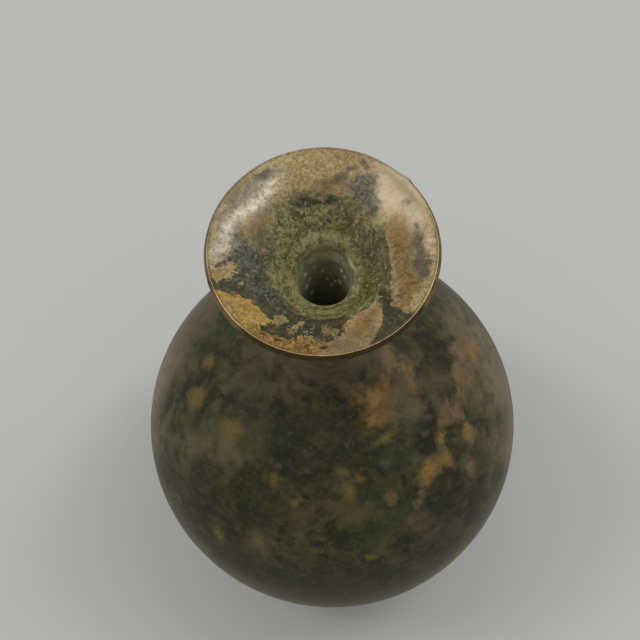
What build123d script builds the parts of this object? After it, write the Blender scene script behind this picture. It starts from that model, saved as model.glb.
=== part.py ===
from build123d import *
import math
import os

# A bronze hu: a small bottle-shaped wine vessel with a wide dished mouth, a long
# narrow neck, a globular body and a splayed foot ring. It is cast in six pieces,
# each turned on a lathe, and every joint is a spigot, tongue or collar in a
# socket, with a film of soft solder between the two.
# Heights are measured from the table, radii from the axis, both in millimetres.

os.makedirs("parts", exist_ok=True)

# Overall form: the foot carries the sphere of the belly, a hollow sweep leads up
# to the neck, and the neck carries the mouth, 220 mm above the table
foot_height = 23.3
belly_radius = 66.5
sweep_round = 26.0
neck_length = 40.5
neck_root_radius = 10.4
neck_top_radius = 9.6
mouth_radius = 30.0
body_wall = 2.8
bore_radius = 7.0
solder_gap = 0.3

# Mouth dish: a lip with a crowned bead, a fine turned groove inside it, a bevel
# outside it down to a narrow flat edge, and a bell of two arcs, one above and one below
lip_edge_height = 0.35
bevel_width = 0.6
bevel_height = 1.25
bead_width = 0.5
bead_crown = 0.2
groove_width = 0.4
groove_depth = 0.35
dish_edge_drop = 0.35
dish_slope = 10.0
throat_round = 7.5
throat_depth = 16.5
underside_slope = 12.0
underside_round = 7.0
underside_drop = 2.0

# Joints of the neck with the mouth and the shoulder: the mouth is cast with a
# short length of the neck, and each spigot has its share of the neck's wall
mouth_collar_length = 11.5
mouth_spigot_length = 8.0
root_spigot_length = 7.5
spigot_wall_share = 0.43

# Joint of the two body shells, on the widest line
tongue_wall = 1.25
tongue_height = 4.0

# Foot ring and the collar of the belly that it sits on
foot_top_radius = 40.6
foot_top_wall = 2.3
foot_waist_draw = 0.4
foot_splay = 3.9
foot_band_height = 3.6
foot_band_step = 0.8
foot_base_wall = 3.2
collar_wall = 2.6
collar_height = 6.0

# Base disc and its seat in the bottom of the belly: a turned land, set in from the
# collar, and a ledge over the disc's edge round the core hole
base_land_setback = 5.9
base_land_width = 3.5
base_ledge_width = 4.0
base_ledge_thickness = 1.8
base_disc_thickness = 2.4


def sphere_rise(radius, sphere_radius):
    """How far the sphere's surface lies above or below its centre at a radius from the axis."""
    return math.sqrt(sphere_radius**2 - radius**2)


def sphere_turn(radius, sphere_radius):
    """Angle in degrees from the sphere's widest line to the point at a radius from the axis."""
    return math.degrees(math.acos(radius / sphere_radius))


def bell_join(edge, slope, foot, foot_round):
    """Point where the two arcs of a bell meet without a corner.

    The large arc leaves the edge at a slope in degrees, and the small one, of
    radius foot_round, turns it straight down at the foot.
    """
    across = Vector(math.sin(math.radians(slope)), -math.cos(math.radians(slope)))
    round_centre = foot + Vector(foot_round, 0)
    reach = round_centre - edge
    large_round = (reach.dot(reach) - foot_round**2) / (2 * (reach.dot(across) - foot_round))
    large_centre = edge + across * large_round
    return round_centre + (round_centre - large_centre).normalized() * foot_round


# Heights, radii and points that follow from the sizes above, from the foot up
foot_base_radius = foot_top_radius + foot_splay
foot_bore = foot_top_radius - foot_top_wall
collar_radius = foot_bore - solder_gap
collar_low = foot_height - collar_height
collar_bore = collar_radius - collar_wall

belly_height = foot_height + sphere_rise(foot_top_radius, belly_radius)
belly_centre = (0, belly_height)
inner_radius = belly_radius - body_wall
collar_top = belly_height - sphere_rise(collar_bore, belly_radius)
tongue_low = belly_height - tongue_height
tongue_radius = inner_radius + tongue_wall

base_land_radius = collar_bore - base_land_setback
base_disc_radius = base_land_radius - base_land_width
base_hole_radius = base_disc_radius - base_ledge_width
land_top = belly_height - sphere_rise(base_land_radius, belly_radius)
base_seat = belly_height - sphere_rise(base_hole_radius, inner_radius) - base_ledge_thickness
base_height = base_seat - base_disc_thickness

sweep_centre_radius = neck_root_radius + sweep_round
sweep_end = sphere_turn(sweep_centre_radius, belly_radius + sweep_round)
neck_root_height = belly_height + sphere_rise(sweep_centre_radius, belly_radius + sweep_round)
root_spigot_low = neck_root_height - root_spigot_length
root_spigot_radius = bore_radius + (neck_root_radius - bore_radius) * spigot_wall_share
root_socket_radius = root_spigot_radius + solder_gap
root_socket_depth = sphere_rise(sweep_centre_radius - root_socket_radius, sweep_round + body_wall)
root_socket_foot = (root_socket_radius, neck_root_height - root_socket_depth)

neck_head = Vector(neck_top_radius, neck_root_height + neck_length)
mouth_seam = neck_head.Y - mouth_collar_length
mouth_spigot_top = mouth_seam + mouth_spigot_length
mouth_spigot_radius = bore_radius + (neck_top_radius - bore_radius) * spigot_wall_share
mouth_socket_radius = mouth_spigot_radius + solder_gap
throat = Vector(bore_radius, neck_head.Y + underside_drop)
total_height = throat.Y + throat_depth
bead_foot = total_height - bead_crown
bead_radius = mouth_radius - bevel_width
bevel_foot = bead_foot - bevel_height
groove_outer_radius = bead_radius - bead_width
dish_edge = Vector(groove_outer_radius - groove_width, total_height - dish_edge_drop)
groove_floor = dish_edge.Y - groove_depth
dish_join = bell_join(dish_edge, dish_slope, throat, throat_round)
lip_arris = Vector(mouth_radius, bevel_foot - lip_edge_height)
underside_join = bell_join(lip_arris, underside_slope, neck_head, underside_round)

# Mouth dish: the bell falls from the lip to the bore, and the underside follows
# it down to the neck, where a socket takes the upper spigot of the neck
with BuildPart() as mouth_dish:
    with BuildSketch(Plane.XZ):
        with BuildLine():
            Polyline(
                dish_edge,
                (dish_edge.X, groove_floor),
                (groove_outer_radius, groove_floor),
                (groove_outer_radius, bead_foot),
            )
            ThreePointArc(
                (groove_outer_radius, bead_foot),
                (bead_radius - bead_width / 2, total_height),
                (bead_radius, bead_foot),
            )
            Polyline((bead_radius, bead_foot), (mouth_radius, bevel_foot), lip_arris)
            underside_foot = TangentArc(neck_head, underside_join, tangent=(0, 1))
            TangentArc(underside_join, lip_arris, tangent=underside_foot % 1)
            Polyline(
                neck_head,
                (neck_top_radius, mouth_seam),
                (mouth_socket_radius, mouth_seam),
                (mouth_socket_radius, mouth_spigot_top),
                (bore_radius, mouth_spigot_top),
                throat,
            )
            dish_foot = TangentArc(throat, dish_join, tangent=(0, 1))
            TangentArc(dish_join, dish_edge, tangent=dish_foot % 1)
        make_face()
    revolve(axis=Axis.Z)
mouth_dish.part.label = "mouth_dish"
export_step(mouth_dish.part, "parts/mouth_dish.step")

# Neck: a slightly tapered tube with a spigot at each end
with BuildPart() as neck_tube:
    with BuildSketch(Plane.XZ):
        with BuildLine():
            Polyline(
                (bore_radius, mouth_spigot_top),
                (mouth_spigot_radius, mouth_spigot_top),
                (mouth_spigot_radius, mouth_seam),
                (neck_top_radius, mouth_seam),
                (neck_root_radius, neck_root_height),
                (root_spigot_radius, neck_root_height),
                (root_spigot_radius, root_spigot_low),
                (bore_radius, root_spigot_low),
                close=True,
            )
        make_face()
    revolve(axis=Axis.Z)
neck_tube.part.label = "neck_tube"
export_step(neck_tube.part, "parts/neck_tube.step")

# Shoulder: the upper half of the body, drawn up in a hollow sweep to a collar
# round the lower spigot of the neck, with a tongue below for the joint with the belly
with BuildPart() as shoulder_shell:
    with BuildSketch(Plane.XZ):
        with BuildLine():
            outside = CenterArc(belly_centre, belly_radius, 0, sweep_end)
            TangentArc(outside @ 1, (neck_root_radius, neck_root_height), tangent=outside % 1)
            Polyline(
                (neck_root_radius, neck_root_height),
                (root_socket_radius, neck_root_height),
                root_socket_foot,
            )
            inside = CenterArc(belly_centre, inner_radius, 0, sweep_end)
            TangentArc(inside @ 1, root_socket_foot, tangent=inside % 1)
            Polyline(
                inside @ 0,
                (inner_radius, tongue_low),
                (tongue_radius, tongue_low),
                (tongue_radius, belly_height),
                outside @ 0,
            )
        make_face()
    revolve(axis=Axis.Z)
shoulder_shell.part.label = "shoulder_shell"
export_step(shoulder_shell.part, "parts/shoulder_shell.step")

# Belly: the lower half of the body, with a rebated rim for the tongue, a collar
# for the foot ring and a turned land round the hole that the base disc closes
with BuildPart() as belly_shell:
    with BuildSketch(Plane.XZ):
        with BuildLine():
            outside = CenterArc(belly_centre, belly_radius, 0, -sphere_turn(foot_top_radius, belly_radius))
            inside = CenterArc(belly_centre, inner_radius, 0, -sphere_turn(base_hole_radius, inner_radius))
            Line(inside @ 0, outside @ 0)
            Polyline(
                inside @ 1,
                (base_hole_radius, base_height),
                (base_land_radius, base_height),
                (base_land_radius, land_top),
            )
            land_turn = sphere_turn(base_land_radius, belly_radius)
            collar_turn = sphere_turn(collar_bore, belly_radius)
            CenterArc(belly_centre, belly_radius, -land_turn, land_turn - collar_turn)
            Polyline(
                (collar_bore, collar_top),
                (collar_bore, collar_low),
                (collar_radius, collar_low),
                (collar_radius, foot_height),
                outside @ 1,
            )
        make_face()
    revolve(axis=Axis.Z)
    with BuildSketch(Plane.XY.offset(tongue_low)):
        Circle(tongue_radius + solder_gap)
    extrude(amount=tongue_height, mode=Mode.SUBTRACT)
    with BuildSketch(Plane.XY.offset(base_height)):
        Circle(base_disc_radius + solder_gap)
    extrude(amount=base_disc_thickness, mode=Mode.SUBTRACT)
belly_shell.part.label = "belly_shell"
export_step(belly_shell.part, "parts/belly_shell.step")

# Base disc: closes the core hole from below
with BuildPart() as base_disc:
    with BuildSketch(Plane.XY.offset(base_height)):
        Circle(base_disc_radius)
    extrude(amount=base_disc_thickness)
base_disc.part.label = "base_disc"
export_step(base_disc.part, "parts/base_disc.step")

# Foot ring: splayed below a slight waist, with a flat band at the floor, and
# bored to slip over the collar of the belly
with BuildPart() as foot_ring:
    with BuildSketch(Plane.XZ):
        with BuildLine():
            waist = (foot_top_radius - foot_waist_draw, collar_low)
            flare_end = (foot_base_radius - foot_band_step, foot_band_height)
            TangentArc(waist, (foot_top_radius, foot_height), tangent=(0, 1))
            TangentArc(waist, flare_end, tangent=(0, -1))
            Polyline(
                flare_end,
                (foot_base_radius, foot_band_height),
                (foot_base_radius, 0),
                (foot_base_radius - foot_base_wall, 0),
            )
            TangentArc((foot_bore, collar_low), (foot_base_radius - foot_base_wall, 0), tangent=(0, -1))
            Polyline((foot_bore, collar_low), (foot_bore, foot_height), (foot_top_radius, foot_height))
        make_face()
    revolve(axis=Axis.Z)
foot_ring.part.label = "foot_ring"
export_step(foot_ring.part, "parts/foot_ring.step")

# Solder: a thin sleeve fills each joint, given as inner radius, lower and upper end
solder_sleeves = {
    "mouth_solder": (mouth_spigot_radius, mouth_seam, mouth_spigot_top),
    "neck_solder": (root_spigot_radius, root_spigot_low, neck_root_height),
    "belly_solder": (tongue_radius, tongue_low, belly_height),
    "base_solder": (base_disc_radius, base_height, base_seat),
    "foot_solder": (collar_radius, collar_low, foot_height),
}
for sleeve_name, (sleeve_radius, sleeve_low, sleeve_high) in solder_sleeves.items():
    with BuildPart() as solder:
        with BuildSketch(Plane.XY.offset(sleeve_low)):
            Circle(sleeve_radius + solder_gap)
            Circle(sleeve_radius, mode=Mode.SUBTRACT)
        extrude(amount=sleeve_high - sleeve_low)
    solder.part.label = sleeve_name
    export_step(solder.part, f"parts/{sleeve_name}.step")
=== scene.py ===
"""Looks of a small bronze bottle vessel: worn patina on cast and turned bronze, on a pale floor."""

import math

import bpy
import numpy as np
from mathutils import Matrix, Vector


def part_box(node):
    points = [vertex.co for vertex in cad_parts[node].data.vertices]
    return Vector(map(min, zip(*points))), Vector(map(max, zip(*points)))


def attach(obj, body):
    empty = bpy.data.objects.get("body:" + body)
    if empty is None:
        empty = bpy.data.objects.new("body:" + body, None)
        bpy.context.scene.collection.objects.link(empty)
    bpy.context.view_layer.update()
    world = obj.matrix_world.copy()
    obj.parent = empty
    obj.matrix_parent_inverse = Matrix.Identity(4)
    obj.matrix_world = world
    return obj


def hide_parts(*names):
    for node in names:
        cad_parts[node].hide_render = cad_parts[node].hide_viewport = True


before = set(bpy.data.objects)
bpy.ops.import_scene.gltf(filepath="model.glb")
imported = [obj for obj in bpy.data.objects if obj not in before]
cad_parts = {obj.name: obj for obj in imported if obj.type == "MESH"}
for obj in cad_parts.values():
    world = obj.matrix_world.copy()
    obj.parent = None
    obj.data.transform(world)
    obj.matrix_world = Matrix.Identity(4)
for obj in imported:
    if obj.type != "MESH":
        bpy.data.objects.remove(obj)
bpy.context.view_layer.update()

# All shapes are worked out in millimetres and written in metres
MM = 0.001

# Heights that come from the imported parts
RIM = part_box("mouth_dish")[1].z / MM
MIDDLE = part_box("belly_shell")[1].z / MM
MOUTH_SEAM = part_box("mouth_dish")[0].z / MM
NECK_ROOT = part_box("neck_solder")[1].z / MM
SPIGOT_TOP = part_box("neck_tube")[1].z / MM
SPIGOT_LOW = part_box("neck_tube")[0].z / MM
TONGUE_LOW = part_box("shoulder_shell")[0].z / MM
FOOT_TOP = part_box("foot_ring")[1].z / MM
COLLAR_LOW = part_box("foot_solder")[0].z / MM
BASE_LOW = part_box("base_disc")[0].z / MM
BASE_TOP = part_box("base_disc")[1].z / MM

# Radii and other sizes that the parts were turned to
MOUTH_RADIUS = 30.0
BEAD_OUTER = 29.4
BEAD_CREST = 29.15
BEAD_INNER = 28.9
DISH_RADIUS = 28.5
BORE_RADIUS = 7.0
NECK_HEAD_RADIUS = 9.6
NECK_ROOT_RADIUS = 10.4
UPPER_SPIGOT = 8.118
LOWER_SPIGOT = 8.462
BODY_RADIUS = 66.5
HOLLOW_RADIUS = 63.7
SWEEP_RADIUS = 26.0
WALL = 2.8
TONGUE_RADIUS = 64.95
COLLAR_OUTER = 38.0
COLLAR_INNER = 35.4
LAND_OUTER = 29.5
LAND_HOLE = 22.0
BASE_RADIUS = 26.0
FOOT_TOP_RADIUS = 40.6
FOOT_WAIST_RADIUS = 40.2
FOOT_LOW_RADIUS = 43.7
BAND_RADIUS = 44.5
BAND_HEIGHT = 3.6
FOOT_INNER_RADIUS = 41.3
# A socket is wider than what it holds by this much all round
FIT_GAP = 0.3

# A ring of a piece has this many points
FINE_TURN = 512
BODY_TURN = 440
PLAIN_TURN = 256
# Rings stand about this far apart in the lip, on the body, and where nobody sees them
FINE_STEP = 0.2
BODY_STEP = 0.85
HIDDEN_STEP = 3


def srgb(red, green, blue):
    """A colour written from 0 to 255, made linear."""
    share = np.array([red, green, blue]) / 255
    linear = np.where(share <= 0.04045, share / 12.92, ((share + 0.055) / 1.055) ** 2.4)
    return (*linear.tolist(), 1.0)


def put(name, data):
    """Puts a mesh, lamp or camera into the scene, and gives its object."""
    made = bpy.data.objects.new(name, data)
    bpy.context.scene.collection.objects.link(made)
    return made


# profiles


def straight(start, end, step):
    """Points on the line from start to end, about a step apart."""
    start, end = np.array(start, float), np.array(end, float)
    count = max(1, round(np.linalg.norm(end - start) / step))
    return start + (end - start) * np.linspace(0, 1, count + 1)[:, None]


def arc(centre, start, end, step):
    """Points on the circle about a centre, the short way from start to end, about a step apart."""
    centre, start, end = (np.array(p, float) for p in (centre, start, end))
    first = math.atan2(start[1] - centre[1], start[0] - centre[0])
    last = math.atan2(end[1] - centre[1], end[0] - centre[0])
    turn = (last - first + math.pi) % (2 * math.pi) - math.pi
    radius = np.linalg.norm(start - centre)
    angles = first + turn * np.linspace(0, 1, max(2, round(abs(turn) * radius / step)) + 1)
    return centre + radius * np.stack([np.cos(angles), np.sin(angles)], axis=1)


def upright_arc(foot, end, step):
    """The circular arc that leaves foot straight up or down and ends at end.

    Its centre is level with the foot, at half the squared distance over the sideways run.
    """
    across, up = end[0] - foot[0], end[1] - foot[1]
    radius = (across**2 + up**2) / (2 * across)
    return arc((foot[0] + radius, foot[1]), foot, end, step)


def bell(edge, slope, foot, foot_round, step):
    """The two joined arcs of a trumpet bell, from the foot up to the edge.

    The small arc leaves the foot straight up; the large one leaves the edge at a
    slope in degrees. They meet on the line through both centres.
    """
    edge, foot = np.array(edge, float), np.array(foot, float)
    across = np.array([math.sin(math.radians(slope)), -math.cos(math.radians(slope))])
    small_centre = foot + [foot_round, 0]
    reach = small_centre - edge
    large_round = (reach @ reach - foot_round**2) / (2 * (reach @ across - foot_round))
    large_centre = edge + across * large_round
    away = small_centre - large_centre
    join = small_centre + away / np.linalg.norm(away) * foot_round
    return np.concatenate([arc(small_centre, foot, join, step), arc(large_centre, join, edge, step)])


def outline(*stretches):
    """Joins stretches of points end to end and drops points that repeat."""
    points = np.concatenate([np.atleast_2d(np.array(s, float)) for s in stretches])
    apart = np.linalg.norm(points - np.roll(points, 1, axis=0), axis=1) > 1e-4
    return points[apart]


def eased(points, reach, keep=()):
    """Rounds the corners of a closed outline, apart from those at the points in keep.

    A corner that turns by over 30 degrees becomes a curve that starts and ends up to
    reach before and after it, with the corner as its middle control point.
    """
    before, after = np.roll(points, 1, axis=0) - points, np.roll(points, -1, axis=0) - points
    long_before, long_after = np.linalg.norm(before, axis=1), np.linalg.norm(after, axis=1)
    turn = 180 - np.degrees(np.arccos(np.clip((before * after).sum(1) / (long_before * long_after), -1, 1)))
    rounded = []
    for i, point in enumerate(points):
        kept = any(np.linalg.norm(point - np.array(k)) < 0.05 for k in keep)
        if turn[i] < 30 or kept:
            rounded.append(point[None])
            continue
        back = point + before[i] / long_before[i] * min(reach, 0.45 * long_before[i])
        on = point + after[i] / long_after[i] * min(reach, 0.45 * long_after[i])
        t = np.linspace(0, 1, 5)[:, None]
        rounded.append((1 - t) ** 2 * back + 2 * t * (1 - t) * point + t**2 * on)
    return np.concatenate(rounded)


# surfaces


def mottle(points, size, seed):
    """Smooth random values from -1 to 1 whose lumps are about size across.

    A table of random numbers stands on a cubic lattice, repeated every 32 cells, and
    each point takes the eased mean of the eight corners of its cell.
    """
    table = np.random.default_rng(seed).uniform(-1, 1, (32, 32, 32))
    place = points / size
    cell = np.floor(place).astype(int)
    share = place - cell
    share = share * share * (3 - 2 * share)
    total = np.zeros(len(points))
    for corner in np.ndindex(2, 2, 2):
        weight = np.prod(np.where(np.array(corner) == 1, share, 1 - share), axis=1)
        i, j, k = ((cell + corner) % 32).T
        total += weight * table[i, j, k]
    return total


def lumps(points, rows):
    """The sum of mottles from 0 to twice their depth: each row has a depth, a size and a seed."""
    return sum(depth * (1 + mottle(points, size, seed)) for depth, size, seed in rows)


def ease(value, low, high):
    """0 below low, 1 above high, and a smooth rise between."""
    share = np.clip((value - low) / (high - low), 0, 1)
    return share * share * (3 - 2 * share)


def within(places, corners):
    """Distance in from the edge of a closed outline, in millimetres: above zero inside it.

    It is the least distance to any side, with the sign of an even-odd crossing count.
    """
    corners = np.array(corners, float)
    nearest = np.full(len(places), 1e9)
    inside = np.zeros(len(places), bool)
    for start, end in zip(corners, np.roll(corners, -1, axis=0)):
        side, offset = end - start, places - start
        along = np.clip((offset @ side) / (side @ side), 0, 1)
        nearest = np.minimum(nearest, np.linalg.norm(offset - along[:, None] * side, axis=1))
        crosses = (start[1] > places[:, 1]) != (end[1] > places[:, 1])
        with np.errstate(divide="ignore", invalid="ignore"):
            at = start[0] + (places[:, 1] - start[1]) * side[0] / side[1]
        inside ^= crosses & (places[:, 0] < at)
    return np.where(inside, nearest, -nearest)


def round_spot(places, x, y, long, wide, turn=0):
    """Distance in from the edge of an oval, in millimetres, counted by its narrower radius."""
    c, s = math.cos(math.radians(turn)), math.sin(math.radians(turn))
    offset = places - [x, y]
    along, across = offset @ [c, s], offset @ [-s, c]
    return (1 - np.hypot(along / long, across / wide)) * min(long, wide)


def union(places, outlines=(), spots=()):
    """Distance in from the edge of everything in two lists, one of outlines and one of ovals."""
    fields = [within(places, o) for o in outlines] + [round_spot(places, *s) for s in spots]
    return np.max(fields, axis=0)


def turned(name, points, turns, tones, move=None):
    """A closed outline turned about the axis, as one grid of rings by turns.

    Each outline point becomes a ring. tones gives the values that the finish reads at
    the points as they were turned, and move their new places, in millimetres. An outline
    that starts and ends on the axis is closed there by a fan at each end.
    """
    closed = points[0, 0] > 1e-6
    lathe = points if closed else points[1:-1]
    angle = np.arange(turns) * 2 * math.pi / turns
    radius, height = lathe[:, :1], lathe[:, 1:]
    grid = np.stack([radius * np.cos(angle), radius * np.sin(angle), height + 0 * angle], axis=-1)
    places = grid.reshape(-1, 3)
    rings = len(lathe)
    row, column = np.meshgrid(np.arange(rings if closed else rings - 1), np.arange(turns), indexing="ij")
    ring, next_ring, beside = row * turns, (row + 1) % rings * turns, (column + 1) % turns
    quads = np.stack([ring + column, ring + beside, next_ring + beside, next_ring + column], axis=-1)
    faces = quads.reshape(-1, 4).tolist()
    if not closed:
        places = np.concatenate([places, [[0, 0, points[0, 1]], [0, 0, points[-1, 1]]]])
        step, last = np.arange(turns), (rings - 1) * turns
        ahead = (step + 1) % turns
        faces += np.stack([ahead, step, 0 * step + rings * turns], axis=1).tolist()
        faces += np.stack([last + step, last + ahead, 0 * step + rings * turns + 1], axis=1).tolist()
    area = np.sum(points[:, 0] * np.roll(points[:, 1], -1) - np.roll(points[:, 0], -1) * points[:, 1])
    if area < 0:
        faces = [face[::-1] for face in faces]
    mesh = bpy.data.meshes.new(name)
    mesh.from_pydata(((move(places) if move else places) * MM).tolist(), [], faces)
    mesh.shade_smooth()
    mesh.set_sharp_from_angle(angle=math.radians(40))
    for tone, value in tones(places).items():
        attribute = mesh.attributes.new(tone, "FLOAT", "POINT")
        attribute.data.foreach_set("value", np.asarray(value, np.float32))
    return put(name, mesh)


# The mouth's pattern: outlines and ovals in the dish, in millimetres to the right of the
# axis and away from the front. An oval is x, y, its two radii and its turn,
# if it has one.
NEAR_BAND = [
    (-29, -7.6), (-25, -9.7), (-21, -10.7), (-19, -11.4), (-16.8, -13.4), (-15.5, -15.6), (-13.3, -17.8),
    (-14.2, -18.8), (-15.9, -19.2), (-15.8, -20.9), (-13.4, -21.9), (-11, -22.2), (-9.5, -23.4),
    (-8, -22.8), (-6, -22.3), (-4, -22.4), (-2.8, -23.9), (-1, -24.5), (1.5, -24.2), (2.8, -23.2),
    (4.2, -21.8), (4.6, -20), (5, -18.6), (6.6, -17), (8.2, -15.6), (10, -14.9), (11.8, -13.4),
    (13.3, -12.8), (13.5, -15.4), (14.3, -17.2), (13.7, -19), (13.2, -21), (12.3, -23), (11.2, -25),
    (10.3, -27), (11, -32), (0, -34), (-15, -31), (-25, -24), (-32, -12),
]
FLAKE_LEFT = [
    (-13.6, -18.5), (-12.7, -17.6), (-12.9, -16.6), (-11.6, -16.2), (-10.6, -15.4), (-10, -16.2),
    (-9.3, -17.2), (-9.9, -18), (-9.7, -18.9), (-10.9, -18.8), (-12, -19.2),
]
FLAKE_STREAK = [
    (-10.7, -20.9), (-9.6, -20.2), (-9, -19.4), (-7.6, -19.5), (-7.2, -18.3), (-6.3, -17.5), (-5.1, -17.8),
    (-5.5, -18.9), (-6.3, -19.4), (-6.5, -20.3), (-7.6, -20.4), (-8.2, -21.4), (-9.6, -21.2),
    (-10.3, -21.7),
]
FLAKE_RIGHT = [
    (-1.5, -20.7), (-0.9, -19.9), (-0.3, -18.6), (0.5, -19.3), (0.9, -20.4), (1.9, -20.3), (2.5, -21.2),
    (2.4, -23), (1.6, -23.4), (1.1, -22.3), (0.1, -22.4), (-0.6, -21.4),
]
RIGHT_FIELD = [
    (11.8, 10.4), (14.2, 9), (16, 6.5), (16.7, 3), (16.7, -1), (17.2, -4), (16.5, -7), (16.2, -10),
    (16.6, -12.5), (16, -14), (16.3, -15.6), (17.8, -16.4), (19.5, -18.1), (21.6, -19), (34, -22), (34, 26),
    (20, 34), (0, 36), (-18, 32), (-15.5, 24.7), (-12.4, 18.5), (-11.5, 15), (-9.5, 15.6), (-8, 16.8),
    (-6, 18.2), (-3, 19), (0, 19.2), (4, 18.4), (7, 17.6), (8.4, 19), (9, 20.4), (10.5, 21.1), (12.5, 21.8),
    (14.7, 21), (14.8, 19), (14.2, 17), (14, 15), (14.9, 12.6), (13.4, 11.2),
]
LEFT_FIELD = [
    (-11, 15.6), (-12.6, 13.4), (-13.4, 11.6), (-14.4, 9), (-14.8, 6), (-15.8, 4.4), (-17.6, 4.2),
    (-18.8, 6), (-20.8, 7.6), (-22.2, 5.4), (-22.8, 3), (-23.2, 0.2), (-24.6, -0.8), (-26.5, -2.2),
    (-29, -2.6), (-36, 0), (-34, 16), (-20, 34), (-10, 30), (-9, 22),
]
LEFT_SCALE = [
    (-29, -3.3), (-27.3, -2.9), (-26, -3), (-25.4, -1.9), (-24.5, -1.8), (-23.6, -1), (-22.8, -0.9),
    (-22.2, -1.8), (-21.4, -2), (-21.8, -3), (-21.6, -4), (-22.8, -4.6), (-22.6, -5.7), (-23.5, -6.1),
    (-23.4, -7), (-24.3, -6.9), (-25, -6.2), (-26, -6.5), (-26.5, -7.3), (-27.9, -5.9),
]
SCALE_CRUMBS = [
    (-20.6, -7.2, 0.9, 0.5, 60), (-19.6, -4.4, 0.7, 0.5, 20), (8.6, 10.6, 1.6, 0.5, 10),
    (6.2, 14.8, 1, 0.5), (3.6, -19.4, 0.35, 0.25), (-3.4, -19.8, 0.4, 0.25, 40), (15.4, -13, 0.4, 0.3),
    (-4.6, -21.6, 0.5, 0.3, 10),
]
BACK_STAIN = [
    (7.9, 20.4), (10.4, 21.2), (13, 21.8), (15, 20.6), (14.4, 17.5), (14.1, 15), (15, 12.5), (13.6, 11.2),
    (11.4, 12.3), (10.4, 13.5), (9.4, 15.5), (8.4, 17.5),
]
BACK_CRESCENT = [
    (-8, 16.4), (-6, 17.6), (-3, 18.4), (-1, 17.9), (1.5, 18.2), (4, 17.4), (6.2, 16.4), (4, 15.9),
    (0, 16.1), (-3, 15.7), (-6, 15.3),
]
LEFT_GROUND = [
    (-23, 9.6), (-20.4, 8.6), (-18.6, 4.8), (-16.2, 2.8), (-14.4, -1.6), (-13.6, -5.4), (-11.8, -8.6),
    (-9, -11.4), (-6.6, -14.4), (-5, -16.4), (-9, -18), (-14, -20.5), (-18, -16), (-24, -11), (-29, -9),
    (-29, -5), (-23, 2),
]
LOW_GROUND = [
    (-17, -19.4), (-13.4, -16.4), (-9, -15.2), (-4.6, -15.9), (-2, -16.9), (2, -16.6), (4.8, -15.8),
    (5.8, -17.2), (5.6, -20), (4.6, -24), (1, -25.4), (-5, -24.6), (-10, -24), (-16, -22),
]
WEDGE = [
    (13.4, -10), (14.8, -9.6), (16.8, -12), (16.6, -15.4), (19, -17.4), (22, -19), (21, -25), (10, -29),
    (11, -25), (13.4, -20), (14, -16),
]
RIGHT_SHADE = [
    (13.6, 9.6), (15.8, 7), (17, 3), (17.4, -4), (16.6, -10), (15, -10), (15, -3), (14.6, 3), (13, 7),
]

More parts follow.
